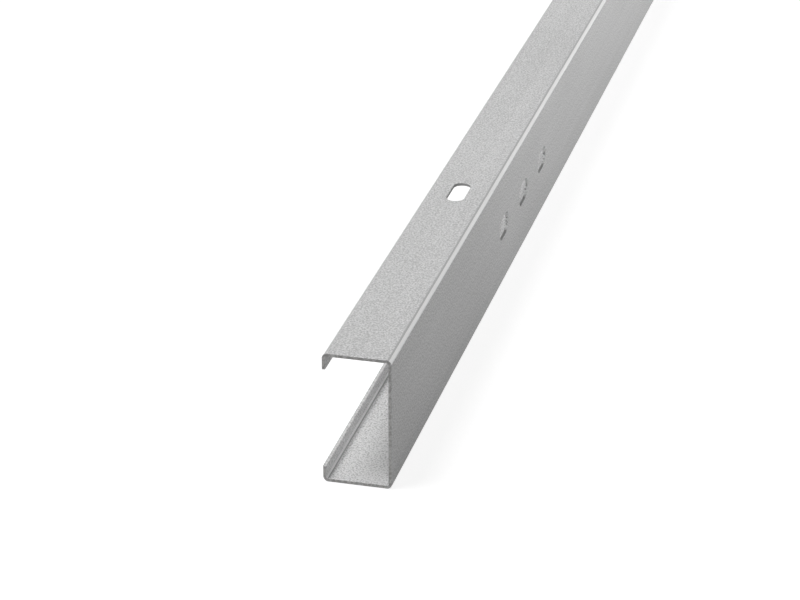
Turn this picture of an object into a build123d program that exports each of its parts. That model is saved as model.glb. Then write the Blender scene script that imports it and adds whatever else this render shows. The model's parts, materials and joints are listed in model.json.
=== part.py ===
# Lipped C purlin: one length of cold-formed galvanised steel channel.
# It stands on its lower flange, web upright on the +X side, mouth open to -X.
# The length runs along Y, the origin is under the middle of the bounding box.
# All sizes are in millimetres.
import os

from build123d import *

# Stock length
LENGTH = 3000.0

# Section, measured over the outside of the sheet
DEPTH = 80.0
FLANGE = 40.0
LIP = 10.0
SHEET = 2.0
BEND_INNER_R = 1.0
BEND_OUTER_R = BEND_INNER_R + SHEET

# Slot in the upper flange, one near each end, on the flange's mid line
FLANGE_SLOT_WIDTH = 11.0
FLANGE_SLOT_LENGTH = 30.0
FLANGE_SLOT_FROM_END = 245.0

# Row of slots in the web near each end, on the web's mid line
WEB_SLOT_WIDTH = 15.0
WEB_SLOT_LENGTH = 25.5
WEB_SLOT_COUNT = 3
WEB_SLOT_PITCH = 60.0
WEB_SLOT_FIRST_FROM_END = 290.0

# Places that follow from the sizes above
MID_HEIGHT = DEPTH / 2
WEB_OUTER_X = FLANGE / 2
MOUTH_HEIGHT = DEPTH - 2 * LIP
HALF_LENGTH = LENGTH / 2

# Section: a closed rounded box of sheet, opened between the two lips
section_plane = Plane.XZ * Pos(0, MID_HEIGHT)
outline = RectangleRounded(FLANGE, DEPTH, BEND_OUTER_R)
hollow = RectangleRounded(FLANGE - 2 * SHEET, DEPTH - 2 * SHEET, BEND_INNER_R)
mouth = Pos(-FLANGE / 2) * Rectangle(3 * SHEET, MOUTH_HEIGHT)
section = section_plane * (outline - hollow - mouth)

# Rolled length, half to either side of the origin
purlin = extrude(section, amount=HALF_LENGTH, both=True)

# Punches through one thickness of sheet, long side of each slot along the length
flange_punch = extrude(
    SlotOverall(FLANGE_SLOT_LENGTH, FLANGE_SLOT_WIDTH, rotation=90),
    amount=2 * SHEET,
    both=True,
)
web_punch = extrude(
    Plane.YZ * SlotOverall(WEB_SLOT_LENGTH, WEB_SLOT_WIDTH),
    amount=2 * SHEET,
    both=True,
)

for end in (-1, 1):
    flange_slot_y = end * (HALF_LENGTH - FLANGE_SLOT_FROM_END)
    purlin -= Pos(0, flange_slot_y, DEPTH) * flange_punch
    for i in range(WEB_SLOT_COUNT):
        from_end = WEB_SLOT_FIRST_FROM_END + i * WEB_SLOT_PITCH
        web_slot_y = end * (HALF_LENGTH - from_end)
        purlin -= Pos(WEB_OUTER_X, web_slot_y, MID_HEIGHT) * web_punch

# Export
os.makedirs("parts", exist_ok=True)
export_step(purlin, "parts/c_purlin.step")
box = purlin.bounding_box()
print("volume mm3", round(purlin.volume, 1))
print("box mm", box.min, box.max)
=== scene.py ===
# %% [markdown]
# # A galvanised C purlin, dressed for its picture
#
# A purlin is one strip of zinc-coated steel sheet. A press punches its bolt slots, rollers fold it
# four times, so that its section is a letter C with two short lips, and a shear cuts it to
# length. The solid that the scene starts from has the right sizes and few facets. Here the sheet
# is worked out again as one fine mesh, in the same order as in the works: cut flat, punched, and
# folded last. Then it gets its zinc, its sheared edges, a floor and the light of a studio.

# %% Load the frame
import json
import math

import bpy
import numpy as np
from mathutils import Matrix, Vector


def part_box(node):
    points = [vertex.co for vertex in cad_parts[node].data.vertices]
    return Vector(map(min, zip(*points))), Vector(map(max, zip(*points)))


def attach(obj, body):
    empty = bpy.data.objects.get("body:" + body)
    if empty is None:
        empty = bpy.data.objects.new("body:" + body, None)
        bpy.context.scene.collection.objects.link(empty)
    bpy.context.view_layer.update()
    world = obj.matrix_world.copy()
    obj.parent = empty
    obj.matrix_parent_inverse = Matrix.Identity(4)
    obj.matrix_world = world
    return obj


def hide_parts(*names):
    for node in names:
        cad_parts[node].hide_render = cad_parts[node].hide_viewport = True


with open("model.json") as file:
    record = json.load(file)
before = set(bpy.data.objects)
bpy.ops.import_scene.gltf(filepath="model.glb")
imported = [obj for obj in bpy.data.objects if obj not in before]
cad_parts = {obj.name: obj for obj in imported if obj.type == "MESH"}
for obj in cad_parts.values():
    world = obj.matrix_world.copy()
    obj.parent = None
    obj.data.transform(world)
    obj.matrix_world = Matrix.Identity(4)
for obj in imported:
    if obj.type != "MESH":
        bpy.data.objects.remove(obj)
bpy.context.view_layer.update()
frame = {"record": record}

# %% [markdown]
# ## The sizes
#
# The outer sizes and the slots are read from the frame, so the fine mesh can't drift away from
# the solid. Only what the frame doesn't say is written here: the sheet's thickness, the lips, the
# bends, and the tiny radii that a blade leaves. It draws one face down a little and leaves a
# sharper burr on the other.

# %% Sizes, in metres
SHEET = 0.002
LIP = 0.010
BEND_OUTER_R = 0.003
DRAWN_EDGE_R = 0.00030
BURR_EDGE_R = 0.00012

low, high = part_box("c_purlin")
DEPTH = high.z - low.z
FLANGE = high.x - low.x
HALF_LENGTH = (high.y - low.y) / 2
print("depth %.3f m, flange %.3f m, length %.3f m" % (DEPTH, FLANGE, 2 * HALF_LENGTH))

# %% [markdown]
# ## The flat strip
#
# Unfolded, the purlin is a rectangle. Its own coordinates are `across`, from the free edge of the
# upper lip to that of the lower one, measured on the outer face, `along`, which is Y, and
# `depth`, from the outer face into the sheet. Flats and bends take turns across it. A bend is as
# wide as a quarter of a circle with the outer radius.

# %% Flats and bends across the strip
BEND = BEND_OUTER_R * math.pi / 2
LIP_FLAT = LIP - BEND_OUTER_R
FLANGE_FLAT = FLANGE - 2 * BEND_OUTER_R
WEB_FLAT = DEPTH - 2 * BEND_OUTER_R

STRETCHES = np.array([LIP_FLAT, BEND, FLANGE_FLAT, BEND, WEB_FLAT, BEND, FLANGE_FLAT, BEND, LIP_FLAT])
STARTS = np.concatenate([[0], np.cumsum(STRETCHES)])
STRIP_WIDTH = STARTS[-1]
FLANGE_MID = STARTS[2] + FLANGE_FLAT / 2
WEB_MID = STARTS[4] + WEB_FLAT / 2
print("the flat strip is %.2f mm wide" % (1000 * STRIP_WIDTH))

# %% [markdown]
# ## The slots
#
# The part's record says where each bolt pattern sits, how wide its slots are and how long. A slot
# is a short centre line along the strip, its core, with a radius round it. The patterns whose
# axis points up are on the upper flange, and the others on the web.


# %% Slots from the record
def slot_centres(mount):
    """Centres of a pattern's two slots as (across, along): its own place, plus and minus half the
    spacing along Y."""
    x, y, z = mount["pos_m"]
    dims = mount["dims"]
    half = (dims.get("spacing_x_mm") or dims.get("spacing_y_mm")) / 2000
    across = FLANGE_MID + x if mount["axis"][2] == 1 else WEB_MID + DEPTH / 2 - z
    return [(round(across, 6), round(y + side * half, 6)) for side in (-1, 1)]


SLOTS = {}
for mount in frame["record"]["mounts"]:
    if mount["kind"] == "bolt_pattern":
        radius = mount["dims"]["hole_r_mm"] / 1000
        core = mount["dims"]["slot_length_mm"] / 2000 - radius
        SLOTS.update({centre: (radius, core) for centre in slot_centres(mount)})
for (across, along), (radius, core) in sorted(SLOTS.items(), key=lambda item: item[0][1]):
    print("slot at across %.4f, along %.3f: radius %.4f, core %.5f" % (across, along, radius, core))

# %% [markdown]
# ## Lines for the grid
#
# Each face of the sheet is a grid of lines. A slot needs a window in it, with enough lines for a
# smooth ring, so lines are packed where a slot or a bend is and wide apart elsewhere. Every
# border has a second line close beside it, which keeps the shading of an edge off the flat. Two
# lines cut the length in thirds, for the paper pattern further down.

# %% Grid lines
WINDOW_MARGIN = 0.006
WINDOW_ACROSS, WINDOW_ALONG = 12, 24
BEND_CELLS = 12
EDGE_SUPPORT = 0.0008
LONGEST_CELL = 0.050
THIRDS = 3
SNAP = 7


def reach(radius, core):
    """How far a slot's window goes from its centre, across and along."""
    return np.array([radius + WINDOW_MARGIN, radius + core + WINDOW_MARGIN])


def snapped_lines(parts):
    """Sorted lines without doubles, snapped to a tenth of a micrometre so that grids meet exactly."""
    return np.unique(np.round(np.concatenate(parts), SNAP))


def filled(lines, longest):
    """The same lines, with each gap wider than longest cut into even steps."""
    steps = [np.linspace(a, b, math.ceil((b - a) / longest) + 1)[:-1] for a, b in zip(lines, lines[1:])]
    return snapped_lines([*steps, lines[-1:]])


across_parts, along_parts = [STARTS], [HALF_LENGTH * np.linspace(-1, 1, THIRDS + 1)]
for start in STARTS[1:-1:2]:
    across_parts.append(start + np.linspace(0, BEND, BEND_CELLS + 1))
for centre, slot in SLOTS.items():
    across_reach, along_reach = reach(*slot)
    across_parts.append(centre[0] + np.linspace(-across_reach, across_reach, WINDOW_ACROSS + 1))
    along_parts.append(centre[1] + np.linspace(-along_reach, along_reach, WINDOW_ALONG + 1))

ACROSS_LINES = snapped_lines(across_parts)
ALONG_LINES = filled(snapped_lines(along_parts), LONGEST_CELL)
print(len(ACROSS_LINES), "lines across and", len(ALONG_LINES), "along")

# %% [markdown]
# ## A basket of grids
#
# The flat strip is a few dozen grids: two broad faces, a ring round each slot on either face, and
# the rims that join the faces. A small basket collects them, still flat. It keeps for each point
# its normal in the strip's own directions, and its place on the paper pattern that the UV map
# needs. At the end it welds the points that lie on each other.


# %% The basket
class Basket:
    """Grids of points of the flat strip, collected for one mesh."""

    def __init__(self):
        self.points, self.normals, self.pattern, self.quads = [], [], [], []
        self.count = 0

    def grid(self, points, normals, pattern, keep=None, closed=False):
        """Adds rows and columns of points, each joined to its neighbours by quads. With closed, the
        last column joins the first. keep is a mask of the quads that stay."""
        rows, columns = points.shape[:2]
        index = self.count + np.arange(rows * columns).reshape(rows, columns)
        if closed:
            index = np.concatenate([index, index[:, :1]], 1)
        quads = np.stack([index[:-1, :-1], index[1:, :-1], index[1:, 1:], index[:-1, 1:]], -1)
        self.quads.append(quads.reshape(-1, 4) if keep is None else quads[keep])
        self.points.append(np.round(points, SNAP).reshape(-1, 3))
        self.normals.append(np.broadcast_to(normals, points.shape).reshape(-1, 3))
        self.pattern.append(pattern.reshape(-1, 2))
        self.count += rows * columns

    def welded(self):
        """Points, normals, quads, and the pattern's place at each quad's corners. Points on each other
        become one, and the normals that meet there are summed."""
        points, quads = np.concatenate(self.points), np.concatenate(self.quads)
        pattern = np.concatenate(self.pattern)[quads]
        used, quads = np.unique(quads, return_inverse=True)
        welded, where = np.unique(points[used], axis=0, return_inverse=True)
        where = where.reshape(-1)
        normals = np.zeros_like(welded)
        np.add.at(normals, where, np.concatenate(self.normals)[used])
        return welded, normals, where[quads.reshape(-1, 4)], pattern


def flat_points(across_along, depth):
    """Points (across, along, depth) from an array of pairs and a depth."""
    return np.concatenate([across_along, np.broadcast_to(depth, across_along.shape[:-1])[..., None]], -1)


# %% [markdown]
# ## The two broad faces
#
# The outer face has depth 0 and the inner one the sheet's thickness. Both stop short of the
# strip's edges by the radius of their edge, and both leave out the cells of the slots' windows.


# %% Faces with windows
def bordered(lines, inset):
    """The lines inside the strip, between a border line at inset and a support line on each side."""
    first, last = lines[0], lines[-1]
    inner = lines[(lines > first + 2 * EDGE_SUPPORT) & (lines < last - 2 * EDGE_SUPPORT)]
    near, far = [first + inset, first + EDGE_SUPPORT], [last - EDGE_SUPPORT, last - inset]
    return np.round(np.concatenate([near, inner, far]), SNAP)


def outside_windows(across, along):
    """For each cell, whether its middle is outside every slot's window."""
    mid_across = (across[:-1, None] + across[1:, None]) / 2
    mid_along = (along[None, :-1] + along[None, 1:]) / 2
    keep = np.ones((len(across) - 1, len(along) - 1), bool)
    for centre, slot in SLOTS.items():
        across_reach, along_reach = reach(*slot)
        keep &= (abs(mid_across - centre[0]) > across_reach) | (abs(mid_along - centre[1]) > along_reach)
    return keep


def broad_face(basket, depth, inset, outward):
    """One face of the strip at a depth, with outward 1 or -1 as its normal's part out of the sheet."""
    across, along = bordered(ACROSS_LINES, inset), bordered(ALONG_LINES, inset)
    pairs = np.stack(np.meshgrid(across, along, indexing="ij"), -1)
    keep = outside_windows(across, along)
    basket.grid(flat_points(pairs, depth), [0, 0, outward], pairs, keep)


strip = Basket()
broad_face(strip, 0, DRAWN_EDGE_R, 1)
broad_face(strip, SHEET, BURR_EDGE_R, -1)
print(strip.count, "points on the two faces")

# %% [markdown]
# ## Rings round the slots
#
# Each point of a window's border looks for the nearest point of the slot's core. The wall of the
# slot is on that way, one radius from the core. Rows between border and wall make a ring that
# fits the window's corners and the slot's round ends alike.

# %% Rings
RING_ROWS = 3


def around(a, b):
    """Points round a rectangle of lines a and b, in order and without doubles, as pairs."""
    sides = [
        (a[:-1], b[0] + 0 * a[:-1]),
        (a[-1] + 0 * b[:-1], b[:-1]),
        (a[:0:-1], b[-1] + 0 * a[:0:-1]),
        (a[0] + 0 * b[:0:-1], b[:0:-1]),
    ]
    return np.concatenate([np.stack(side, -1) for side in sides])


def window_border(across_reach, along_reach):
    """Points round a window, on its own grid lines, as offsets from its centre."""
    a = np.linspace(-across_reach, across_reach, WINDOW_ACROSS + 1)
    b = np.linspace(-along_reach, along_reach, WINDOW_ALONG + 1)
    return around(a, b)


def slot_outline(border, radius, core):
    """Points of a slot's outline and the directions from there into the metal: from the nearest point
    of the core towards the border's point, one radius out."""
    nearest = np.stack([0 * border[:, 0], np.clip(border[:, 1], -core, core)], -1)
    away = border - nearest
    away /= np.linalg.norm(away, axis=1, keepdims=True)
    return nearest + radius * away, away


def ring(basket, centre, border, outline, away, depth, inset, outward):
    """Rows from a window's border to the outline's rounded edge, on one face."""
    share = np.linspace(0, 1, RING_ROWS + 1)[:, None, None]
    pairs = centre + (1 - share) * border + share * (outline + inset * away)
    basket.grid(flat_points(pairs, depth), [0, 0, outward], pairs, closed=True)


# %% [markdown]
# ## Rims
#
# Every edge of the strip was cut: by the slitter along the lips, by the punch in the slots and by
# the shear at the ends. All of them get one profile, carried round the outline: a small quarter
# round down from the outer face, the wall that the blade left, and a smaller quarter round to the
# inner face. On the paper pattern the rim folds flat, past the outline, by the way walked over it.

# %% The rim's profile
EDGE_STEPS = 3


def rim_profile():
    """Rows of distance into the metal, depth, and the normal's parts out of the sheet and out of the
    wall. A quarter round of radius r at an angle is r(1 - sine) in and r(1 - cosine) deep."""
    angle = np.linspace(0, math.pi / 2, EDGE_STEPS + 1)
    sine, cosine = np.sin(angle), np.cos(angle)
    drawn = [DRAWN_EDGE_R * (1 - sine), DRAWN_EDGE_R * (1 - cosine), cosine, sine]
    burr = [BURR_EDGE_R * (1 - sine), SHEET - BURR_EDGE_R * (1 - cosine), -cosine, sine]
    return np.concatenate([np.stack(drawn, -1), np.stack(burr, -1)[::-1]])


PROFILE = rim_profile()
WALKED = np.append(0, np.cumsum(np.linalg.norm(np.diff(PROFILE[:, :2], axis=0), axis=1)))
print("the rim is %.2f mm from face to face" % (1000 * WALKED[-1]))


def rim(basket, outline, into):
    """Carries the profile round a closed outline on the flat strip. into holds the direction into the
    metal at each point, longer at a corner so that two sides meet on the mitre."""
    inset, depth, outward, wallward = (column[:, None] for column in PROFILE.T)
    pairs = outline + inset[..., None] * into
    wall = -into / np.linalg.norm(into, axis=1, keepdims=True)
    normals = flat_points(wallward[..., None] * wall, outward)
    pattern = outline + (PROFILE[0, 0] - WALKED)[:, None, None] * into
    basket.grid(flat_points(pairs, depth), normals, pattern, closed=True)


# %% Punch the slots
for centre, (radius, core) in SLOTS.items():
    border = window_border(*reach(radius, core))
    outline, away = slot_outline(border, radius, core)
    ring(strip, np.array(centre), border, outline, away, 0, DRAWN_EDGE_R, 1)
    ring(strip, np.array(centre), border, outline, away, SHEET, BURR_EDGE_R, -1)
    rim(strip, np.array(centre) + outline, away)
print(len(SLOTS), "slots, with", len(border), "points round each")


# %% Shear the ends and slit the lips
def strip_outline():
    """The rectangle round the strip on the faces' own lines, and the directions into the metal, which
    are diagonal at the corners."""
    outline = around(bordered(ACROSS_LINES, 0), bordered(ALONG_LINES, 0))
    into = (outline == outline.min(0)) * 1.0 - (outline == outline.max(0))
    return outline, into


rim(strip, *strip_outline())
points, normals, quads, pattern = strip.welded()
print(len(points), "points and", len(quads), "quads in the flat strip")

# %% [markdown]
# ## A closed skin
#
# A solid piece of metal has no gaps. In a closed mesh every edge belongs to exactly two faces, so
# a count of the edges shows whether the grids met. The count is cheap, and it stops the script
# before a crack could show as a thin line of light.


# %% Check that the mesh is closed
def faces_per_edge(quads):
    """How many faces each edge has: the edges of all quads as sorted pairs, counted."""
    edges = np.stack([quads, np.roll(quads, -1, axis=1)], -1).reshape(-1, 2)
    return np.unique(np.sort(edges, axis=1), axis=0, return_counts=True)[1]


if set(faces_per_edge(quads)) != {2}:
    raise ValueError("the grids of the strip don't meet")
print("every edge of the strip has two faces")

# %% [markdown]
# ## Folding
#
# Walk over the outer face from the upper lip to the lower one. On a flat the heading stays, and
# in a bend it turns evenly, so each stretch has one curvature: nought, or one over the radius.
# The place after a walk of `s` then has a closed formula, and so has the direction out of the
# sheet. A point at some depth lies against that direction. The rollers do the same to the real
# strip: the neighbouring flats only swing round.

# %% The path of the section
CURVATURES = np.array([0, -1, 0, -1, 0, -1, 0, -1, 0]) / BEND_OUTER_R


def walk(place, heading, curvature, s):
    """Place and heading after s metres. The heading grows by curvature times s. On a flat, the place
    moves s along the heading. In a bend it moves by the change of (sine, minus cosine) of the
    heading, over the curvature."""
    turned = heading + curvature * s
    bent = np.where(curvature == 0, 1, curvature)
    flat = np.stack([s * np.cos(heading), s * np.sin(heading)], -1)
    bend = np.stack([np.sin(turned) - np.sin(heading), np.cos(heading) - np.cos(turned)], -1)
    return place + np.where(np.equal(curvature, 0)[..., None], flat, bend / bent[..., None]), turned


knots, headings = [np.array([low.x, high.z - LIP])], [math.pi / 2]
for stretch, curvature in zip(STRETCHES, CURVATURES):
    place, heading = walk(knots[-1], headings[-1], curvature, stretch)
    knots.append(place)
    headings.append(float(heading))
KNOTS, HEADINGS = np.array(knots), np.array(headings)
print("the walk ends at x %.2f mm, z %.2f mm" % tuple(1000 * KNOTS[-1]))


def fold(points, normals):
    """Folded places and normals of points of the flat strip. The walk over the outer face gives the
    place at depth 0 and the heading. Forward is the heading, outward is a quarter turn to its left,
    and the flat strip's directions (across, along, out) become (forward, Y, outward)."""
    across, along, depth = points.T
    stretch = np.clip(np.searchsorted(STARTS, across, side="right") - 1, 0, len(STRETCHES) - 1)
    place, heading = walk(KNOTS[stretch], HEADINGS[stretch], CURVATURES[stretch], across - STARTS[stretch])
    zero = np.zeros_like(along)
    forward = np.stack([np.cos(heading), zero, np.sin(heading)], -1)
    outward = np.stack([-np.sin(heading), zero, np.cos(heading)], -1)
    folded = np.stack([place[:, 0], along, place[:, 1]], -1) - depth[:, None] * outward
    turned = normals[:, :1] * forward + normals[:, 1:2] * [0, 1, 0] + normals[:, 2:] * outward
    return folded, turned / np.linalg.norm(turned, axis=1, keepdims=True)


places, directions = fold(points, normals)
print("folded, mm:", np.round(1000 * places.min(0), 2), np.round(1000 * places.max(0), 2))


# %% Turn every face outwards
def outward_facing(places, directions, quads, pattern):
    """Reverses each quad whose own normal, the cross product of its diagonals, is against the normals
    of its corners."""
    corners = places[quads]
    facing = np.cross(corners[:, 2] - corners[:, 0], corners[:, 3] - corners[:, 1])
    wrong = (facing * directions[quads].sum(1)).sum(1) < 0
    quads, pattern = quads.copy(), pattern.copy()
    quads[wrong], pattern[wrong] = quads[wrong, ::-1], pattern[wrong, ::-1]
    return quads, pattern, wrong.sum()


quads, pattern, reversed_count = outward_facing(places, directions, quads, pattern)
print(reversed_count, "faces reversed")

# %% [markdown]
# ## The mesh and its maps
#
# The normals come from the formulas and not from the facets, so a flat shades flat right up to
# its bend. The mesh carries the strip's own coordinates as well: a UV map in metres across and
# along, and the depth as an attribute. A finish can then ask how far it is from a bend or an edge.

# %% The purlin's mesh
mesh = bpy.data.meshes.new("galvanised_purlin")
mesh.from_pydata(places.tolist(), [], quads.tolist())
mesh.shade_smooth()
mesh.normals_split_custom_set_from_vertices(directions.tolist())

sheet_map = mesh.uv_layers.new(name="Sheet")
sheet_map.uv.foreach_set("vector", points[quads][..., :2].astype(np.float32).ravel())
depth_values = mesh.attributes.new("sheet_depth", "FLOAT", "POINT")
depth_values.data.foreach_set("value", points[:, 2].astype(np.float32))
print(len(mesh.vertices), "points and", len(mesh.polygons), "faces in the mesh")

# %% [markdown]
# A baked picture needs a map where nothing overlaps. The paper pattern gives one without
# stretching: each face of the strip is cut in three lengths, and the six pieces lie side by side
# in a square. The rims stay attached to the outer face.

# %% The pattern's layout
PATTERN_GAP = 0.004


def laid_out(pattern, inner):
    """Pattern places in the unit square. Each third of the length moves to the same start, and each
    piece to its own row, outer faces first, and all is divided by the side of the square."""
    span = 2 * HALF_LENGTH / THIRDS
    middle = pattern[..., 1].mean(1)
    third = np.clip(np.floor((middle + HALF_LENGTH) / span), 0, THIRDS - 1)
    border = WALKED[-1] + PATTERN_GAP
    pitch = STRIP_WIDTH + 2 * border
    row = third + THIRDS * inner
    side = 2 * THIRDS * pitch
    u = pattern[..., 1] + HALF_LENGTH - third[:, None] * span + border
    v = pattern[..., 0] + row[:, None] * pitch + border
    return np.stack([u, v], -1) / side, side


is_inner = (points[quads][..., 2] == SHEET).all(1)
unit_places, side = laid_out(pattern, is_inner)
bake_map = mesh.uv_layers.new(name="OFBake")
bake_map.uv.foreach_set("vector", unit_places.astype(np.float32).ravel())
print("pattern's square: %.3f m, filled to %s" % (side, np.round(unit_places.max((0, 1)), 3)))

# %% The piece
purlin = bpy.data.objects.new("galvanised_purlin", mesh)
bpy.context.scene.collection.objects.link(purlin)
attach(purlin, "root")
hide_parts("c_purlin")
print(2 * len(mesh.polygons), "triangles")

# %% [markdown]
# ## Shader sums in Python
#
# A finish is a sum of masks and patterns. One small class wraps a socket, so that a sum is
# written as a sum: each operator adds a Math node and gives its result back as the same kind of
# thing.


# %% A socket that can be added up
class Wire:
    """A shader socket in a node tree."""

    def __init__(self, tree, socket=None):
        self.tree, self.socket = tree, socket

    def node(self, kind, settings=None, output=0, **values):
        """Adds a node. Its settings are set first, then values go to its sockets, by name with
        underscores for spaces or by number as in_0. A Wire is linked and all else is set."""
        node = self.tree.nodes.new(kind)
        for name, value in (settings or {}).items():
            setattr(node, name, value)
        for name, value in values.items():
            key = int(name[3:]) if name.startswith("in_") else name.replace("_", " ")
            if isinstance(value, Wire):
                self.tree.links.new(value.socket, node.inputs[key])
            else:
                node.inputs[key].default_value = value
        return Wire(self.tree, node.outputs[output] if node.outputs else None)

    def math(self, operation, *values):
        """The result of one Math node."""
        inputs = {"in_%d" % i: value for i, value in enumerate(values)}
        return self.node("ShaderNodeMath", {"operation": operation}, **inputs)

    def __add__(self, other):
        return self.math("ADD", self, other)

    def __radd__(self, other):
        return self.math("ADD", other, self)

    def __sub__(self, other):
        return self.math("SUBTRACT", self, other)

    def __rsub__(self, other):
        return self.math("SUBTRACT", other, self)

    def __mul__(self, other):
        return self.math("MULTIPLY", self, other)

    def __rmul__(self, other):
        return self.math("MULTIPLY", other, self)

    def __abs__(self):
        return self.math("ABSOLUTE", self)

    def ramp(self, start, end):
        """Nought before start, one after end and a smooth step between them. start may be the larger."""
        settings = {"interpolation_type": "SMOOTHSTEP", "clamp": True}
        return self.node("ShaderNodeMapRange", settings, Value=self, From_Min=start, From_Max=end)

    def mixed(self, first, second):
        """A colour between two, with this value as the share of the second."""
        settings = {"data_type": "RGBA"}
        return self.node("ShaderNodeMix", settings, output=2, in_0=self, in_6=first, in_7=second)


def material_tree(name):
    """A new material with no nodes yet, and a Wire to start its sums from."""
    material = bpy.data.materials.new(name)
    material.use_nodes = True
    material.node_tree.nodes.clear()
    return material, Wire(material.node_tree)


def shown(tree, shader):
    """Links a shader to a new output node."""
    tree.node("ShaderNodeOutputMaterial", Surface=shader)


# %% [markdown]
# ## The zinc
#
# Sheet that was galvanised before it was rolled has a dull, even skin with a grain as fine as
# sand, because its crystals are kept small. The rollers leave hardly visible streaks along the
# length. An image of metal could be laid on, but noise in the object's own space is even on all
# faces, has no seams, and keeps its size in millimetres. In the picture that this scene follows,
# the grain is stronger and a little paler on the inside of the channel, so the depth into the
# sheet adds to it there. The paler tone is painted light on the whole inner face of the sheet.

# %% Zinc: coordinates and grain
zinc, sheet = material_tree("zinc_on_steel")
place = sheet.node("ShaderNodeTexCoord", output=3)
flat_place = sheet.node("ShaderNodeUVMap", {"uv_map": "Sheet"})
across = sheet.node("ShaderNodeSeparateXYZ", Vector=flat_place)
along = sheet.node("ShaderNodeSeparateXYZ", Vector=flat_place, output=1)
depth = sheet.node("ShaderNodeAttribute", {"attribute_name": "sheet_depth"}, output=2)


def noise(size, detail, stretch=1.0):
    """Noise whose blobs are about size metres across, and stretch times as long. A Mapping node divides
    the place by the size, and again by the stretch along Y."""
    scale = (1 / size, 1 / (size * stretch), 1 / size)
    scaled = sheet.node("ShaderNodeMapping", Vector=place, Scale=scale)
    return sheet.node("ShaderNodeTexNoise", Vector=scaled, Scale=1.0, Detail=detail)


GRAIN, GRAIN_SHARE = 0.00105, 0.84
CLOUD, CLOUD_SHARE = 0.09, 0.10
STREAK, STREAK_SHARE = 0.0030, 0.06
CLOUD_STRETCH, STREAK_STRETCH = 2.0, 150.0
# The second number is painted light: it lifts the tone of the inner face of the sheet.
GRAINIER_INSIDE, PAINTED_LIGHT_INSIDE = 0.7, 0.07
NOISE_MEAN = 0.5

grain = noise(GRAIN, 2.0)
cloud = noise(CLOUD, 2.0, CLOUD_STRETCH)
streaks = noise(STREAK, 1.0, STREAK_STRETCH)
inside = depth.ramp(0.25 * SHEET, 0.75 * SHEET)
outside_tone = GRAIN_SHARE * grain + CLOUD_SHARE * cloud + STREAK_SHARE * streaks
# The inner face gets stronger grain and a tone lifted by painted light.
tone = outside_tone + inside * (GRAINIER_INSIDE * (grain - NOISE_MEAN) + PAINTED_LIGHT_INSIDE)
print("grains of about %.2f mm, streaks of %.0f mm" % (1000 * GRAIN, 1000 * STREAK * STREAK_STRETCH))

# %% [markdown]
# The bends are different. Each bend gets a pale band of painted highlight, where the rounded
# bend would catch the light, and just past the end of the flange a thin dark line of painted
# shade. Both follow the bends, so both are drawn from the strip's own coordinate. The strip is
# symmetrical, and so is each flange: with the distance from the nearer flange's mid line, one band
# serves all four bends. On the inside of a bend the same angle is a shorter way, so both bands are
# wider there, and the line lies a little further back towards the flange.

# %% Zinc: painted highlights and painted shade lines on the bends
BAND_SOFT = 0.0004
# Where the thin line of painted shade lies in each bend, and how it moves and widens on the inside.
SHADE_LINE_INTO_BEND, SHADE_LINE_HALF = 0.0009, 0.0003
SHADE_LINE_BACK_INSIDE, SHADE_LINE_WIDER_INSIDE = 0.0006, 0.0002
# Where the painted highlight lies in each bend, and how wide it is.
HIGHLIGHT_INTO_BEND, HIGHLIGHT_HALF = 0.0028, 0.0011
HIGHLIGHT_WIDER_INSIDE = 0.0008
MID_TO_MID = WEB_MID - FLANGE_MID

into_bend = abs(abs(across - WEB_MID) - MID_TO_MID) - FLANGE_FLAT / 2


def band(centre, half, back_inside, wider_inside):
    """One within half of the centre and nought a little further out. On the inside, the centre moves
    back and the half grows."""
    off_centre = abs(into_bend - centre + back_inside * inside) - wider_inside * inside
    return off_centre.ramp(half + BAND_SOFT, half)


# Painted shade: a thin dark line just past the end of each flange.
painted_shade_lines = band(SHADE_LINE_INTO_BEND, SHADE_LINE_HALF, SHADE_LINE_BACK_INSIDE, SHADE_LINE_WIDER_INSIDE)
# Painted highlight: a pale band in each bend. The print gives its width.
painted_highlight = band(HIGHLIGHT_INTO_BEND, HIGHLIGHT_HALF, 0, HIGHLIGHT_WIDER_INSIDE)
print("highlighted %.1f mm of a bend's %.1f mm" % (2000 * HIGHLIGHT_HALF, 1000 * BEND))

# %% [markdown]
# A blade or a punch shears through the zinc and lays bare the steel. The ends were sheared last:
# partly cut smooth and partly torn, so they are speckled. The slitter's cuts along the lips are
# the oldest: zinc has crept over most of them. A wall is where the depth is between the drawn
# edge and the burr. It is a lip's edge where the place across is near either side of the strip,
# and a cut end where the place along is near either end.
#
# In the web's slots, pale patches of painted light lie on the walls, and only the lower side keeps
# the dark colour of a punched wall. So the patches are noise, and they begin a little above the
# lowest line of the slot. Across grows downwards on the web, and so does `below_mid`. The same noise
# speckles the ends.

# %% Zinc: sheared walls
NEAR_EDGE = 0.001
BARE_LIP = 0.25
in_wall = depth.ramp(0.5 * DRAWN_EDGE_R, 1.5 * DRAWN_EDGE_R) * depth.ramp(SHEET, SHEET - BURR_EDGE_R)
off_lips = abs(across - STRIP_WIDTH / 2).ramp(STRIP_WIDTH / 2, STRIP_WIDTH / 2 - NEAR_EDGE)
sheared = in_wall * (BARE_LIP + (1 - BARE_LIP) * off_lips)
cut_end = abs(along).ramp(HALF_LENGTH - NEAR_EDGE, HALF_LENGTH - NEAR_EDGE / 2)

PATCH = 0.0014
# The first range sets the patches of painted light on the web's slot walls, the second the speckles of the
# cut ends.
WALL_LIGHT_RANGE, SPECKLE_RANGE = (0.32, 0.54), (0.35, 0.65)
patches = noise(PATCH, 1.0)
WEB_SLOT_R = max(radius for radius, core in SLOTS.values())
below_mid = across - WEB_MID
in_web_slot = abs(below_mid).ramp(1.5 * WEB_SLOT_R, 1.25 * WEB_SLOT_R)
above_slot_foot = below_mid.ramp(WEB_SLOT_R, 0.75 * WEB_SLOT_R)
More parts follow.
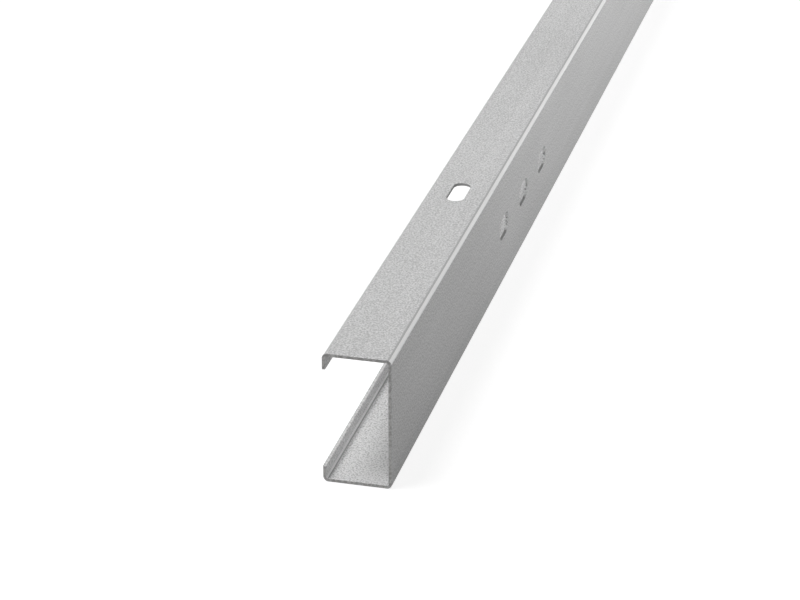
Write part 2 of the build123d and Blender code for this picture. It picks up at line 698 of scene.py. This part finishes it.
# Painted light: pale patches on the web's slot walls, above their lowest part.
painted_wall_light = in_web_slot * above_slot_foot * patches.ramp(*WALL_LIGHT_RANGE)
speckles = patches.ramp(*SPECKLE_RANGE)
print("patches of about %.1f mm on the walls" % (1000 * PATCH))

# %% [markdown]
# Last come the numbers. Zinc that has been in the air for some weeks isn't a mirror any more: its
# skin is a pale matt grey with only a little of the metal's shine, so most of the light that it
# gives back is scattered. The grain sets the colour between a dark and a light grey, makes the
# dark grains slightly smoother than the light ones, and lifts the skin by a fraction of a
# millimetre, except in the painted highlight bands of the bends.

# %% Zinc: colour, roughness and bump
ZINC_DARK, ZINC_LIGHT = (0.42, 0.42, 0.42, 1), (0.76, 0.76, 0.76, 1)
# Painted highlight: the pale colour of the bands in the bends.
PAINTED_HIGHLIGHT = (0.89, 0.89, 0.89, 1)
# Painted shade: the colour of the dark line in each bend.
PAINTED_SHADE_COLOUR = (0.45, 0.45, 0.45, 1)
TORN, STEEL = (0.36, 0.355, 0.35, 1), (0.56, 0.555, 0.55, 1)
# The second colour is painted light on the walls of the web's slots.
PUNCHED, PAINTED_WALL_LIGHT_COLOUR = (0.40, 0.40, 0.40, 1), (0.95, 0.95, 0.95, 1)
METALLIC = 0.15
SMOOTHEST, ROUGHER = 0.46, 0.12
RELIEF, RELIEF_SHARE = 0.0003, 0.25
TONE_RANGE = (0.34, 0.66)

colour = tone.ramp(*TONE_RANGE).mixed(ZINC_DARK, ZINC_LIGHT)
# The painted highlight is laid on the grain's colour in the bends.
colour = painted_highlight.mixed(colour, PAINTED_HIGHLIGHT)
# The lines of painted shade are laid on the colour.
colour = painted_shade_lines.mixed(colour, PAINTED_SHADE_COLOUR)
# Slot walls: dark punched steel under the patches of painted light.
slot_wall = painted_wall_light.mixed(PUNCHED, PAINTED_WALL_LIGHT_COLOUR)
end_face = speckles.mixed(TORN, STEEL)
colour = sheared.mixed(colour, cut_end.mixed(slot_wall, end_face))
roughness = SMOOTHEST + ROUGHER * grain
# The bump leaves out the painted highlight bands.
height = grain * (1 - painted_highlight)
relief = sheet.node("ShaderNodeBump", Strength=RELIEF_SHARE, Distance=RELIEF, Height=height)
metal = sheet.node(
    "ShaderNodeBsdfPrincipled",
    Base_Color=colour,
    Metallic=METALLIC,
    Roughness=roughness,
    Normal=relief,
)
shown(sheet, metal)
mesh.materials.append(zinc)
print(len(zinc.node_tree.nodes), "nodes in the zinc")

# %% [markdown]
# ## The floor and the white around it
#
# The picture has a white ground. The floor is a plain matt sheet, and it shows its own light to
# the camera on top of what falls on it, so that it is white all over and only the purlin's soft
# shadow darkens it. Mirror-like rays see a bright floor as well, and a little of it shows in the
# zinc. No other ray sees that light, so it doesn't brighten the purlin itself.


# %% The floor
def ray_is(tree, kind):
    """One for rays of a kind, as the Light Path node names them."""
    return tree.node("ShaderNodeLightPath", output="Is %s Ray" % kind)


def mirrored(tree):
    """One for rays that a surface reflects or lets through."""
    return ray_is(tree, "Glossy") + ray_is(tree, "Transmission")


FLOOR_HALF = 60.0
FLOOR_GAP = 0.0003
FLOOR_GREY = (0.35, 0.35, 0.35, 1)
SEEN_LIGHT, MIRRORED_LIGHT = 0.83, 0.3

floor_material, ground = material_tree("white_floor")
matt = ground.node("ShaderNodeBsdfDiffuse", Color=FLOOR_GREY)
own_strength = SEEN_LIGHT * ray_is(ground, "Camera") + MIRRORED_LIGHT * mirrored(ground)
own_light = ground.node("ShaderNodeEmission", Color=(1, 1, 1, 1), Strength=own_strength)
shown(ground, ground.node("ShaderNodeAddShader", in_0=matt, in_1=own_light))

corners = np.array([[-1, -1, 0], [1, -1, 0], [1, 1, 0], [-1, 1, 0]]) * FLOOR_HALF
floor_mesh = bpy.data.meshes.new("floor")
floor_mesh.from_pydata((corners - [0, 0, FLOOR_GAP]).tolist(), [], [[0, 1, 2, 3]])
floor_mesh.materials.append(floor_material)
floor = bpy.data.objects.new("floor", floor_mesh)
bpy.context.scene.collection.objects.link(floor)
print("the floor is %.0f m wide" % (2 * FLOOR_HALF))

# %% [markdown]
# Above the floor's far edge the camera sees the world. It is plain white for the camera and for
# mirror-like rays, so floor and sky run into each other without a horizon. All other rays find
# only a dim, even light in it, which keeps the shadows from going black.

# %% The world
AMBIENT = 0.05
world = bpy.data.worlds.new("studio")
bpy.context.scene.world = world
world.use_nodes = True
world.node_tree.nodes.clear()
sky = Wire(world.node_tree)
level = AMBIENT + (1 - AMBIENT) * (ray_is(sky, "Camera") + mirrored(sky))
backdrop = sky.node("ShaderNodeBackground", Color=(1, 1, 1, 1), Strength=level)
sky.node("ShaderNodeOutputWorld", Surface=backdrop)
print("dim light all round: %.2f of the white" % AMBIENT)

# %% [markdown]
# ## Lamps
#
# The picture has the even light of a big studio, so three soft lamps are so far off that they
# light the whole length alike: one high on the left for the upper flange and the bottom of the
# channel, one before the near end and a little to the right, for the cut face and the inside of
# the lower lip, and a low one on the left that shines into the channel and comes back from the
# web. The web itself faces right, and is the darkest side. A long low box stands there, and
# begins only a step behind the near end: so its light grows along the first half metre, stays
# even from there on, and brightens the bend above.


# %% Soft boxes, near and far
def placed_lamp(name, kind, place, target):
    """A lamp at a place, turned to face the target, and hidden from the camera itself."""
    lamp = bpy.data.lights.new(name, kind)
    holder = bpy.data.objects.new(name, lamp)
    holder.location = place
    holder.rotation_mode = "QUATERNION"
    holder.rotation_quaternion = (Vector(target) - Vector(place)).to_track_quat("-Z", "Y")
    holder.visible_camera = False
    bpy.context.scene.collection.objects.link(holder)
    return lamp


def soft_box(name, place, target, width, height, power):
    """A rectangular lamp, with its power in watts."""
    lamp = placed_lamp(name, "AREA", place, target)
    lamp.shape = "RECTANGLE"
    lamp.size, lamp.size_y, lamp.energy = width, height, power


def far_box(name, azimuth, elevation, spread, strength):
    """A soft lamp so far off that it lights all of the purlin alike. Azimuth 0 is the near end's side
    and 90 the web's. Spread is how wide it looks, in degrees, and strength is in watts per square metre."""
    turn, rise = math.radians(azimuth), math.radians(elevation)
    place = (math.sin(turn) * math.cos(rise), -math.cos(turn) * math.cos(rise), math.sin(rise))
    lamp = placed_lamp(name, "SUN", place, (0, 0, 0))
    lamp.angle, lamp.energy = math.radians(spread), strength


far_box("key_light", -70, 69, 25, 1.85)
far_box("front_light", 15, 25, 30, 0.65)
far_box("left_light", -90, 8, 14, 1.8)

BOX_STEP_BACK = 0.25
BOX_X, BOX_Z = 0.55, 0.06
BOX_WIDTH, BOX_POWER = 0.10, 4.6
BOX_LENGTH = 2 * HALF_LENGTH - BOX_STEP_BACK
box_y = HALF_LENGTH - BOX_LENGTH / 2
soft_box("right_light", (BOX_X, box_y, BOX_Z), (0, box_y, DEPTH / 2), BOX_LENGTH, BOX_WIDTH, BOX_POWER)
print(len(bpy.data.lights), "lamps, and a box %.2f m long" % BOX_LENGTH)

# %% [markdown]
# ## The camera
#
# A long lens from the right of the near end, looking down along the purlin. The lens and the
# place were worked out from the edges of the purlin in the picture, so the vanishing lines agree.

# %% The camera
LENS, SENSOR = 121.44, 36.0
AZIMUTH = math.radians(14.369)
ELEVATION = math.radians(24.703)
CAMERA_PLACE = Vector((0.3535, -2.7837, 0.7267))
lens = bpy.data.cameras.new("camera")
lens.lens = LENS
lens.sensor_width = SENSOR
lens.clip_start, lens.clip_end = 0.05, 200.0
camera = bpy.data.objects.new("camera", lens)
camera.location = CAMERA_PLACE
camera.rotation_mode = "QUATERNION"
looking = Vector((
    -math.sin(AZIMUTH) * math.cos(ELEVATION),
    math.cos(AZIMUTH) * math.cos(ELEVATION),
    -math.sin(ELEVATION),
))
camera.rotation_quaternion = looking.to_track_quat("-Z", "Y")
bpy.context.scene.collection.objects.link(camera)
bpy.context.scene.camera = camera
bpy.context.scene.view_settings.view_transform = "Standard"
print("camera %.2f m from the near end" % (CAMERA_PLACE - Vector((0, -HALF_LENGTH, 0))).length)
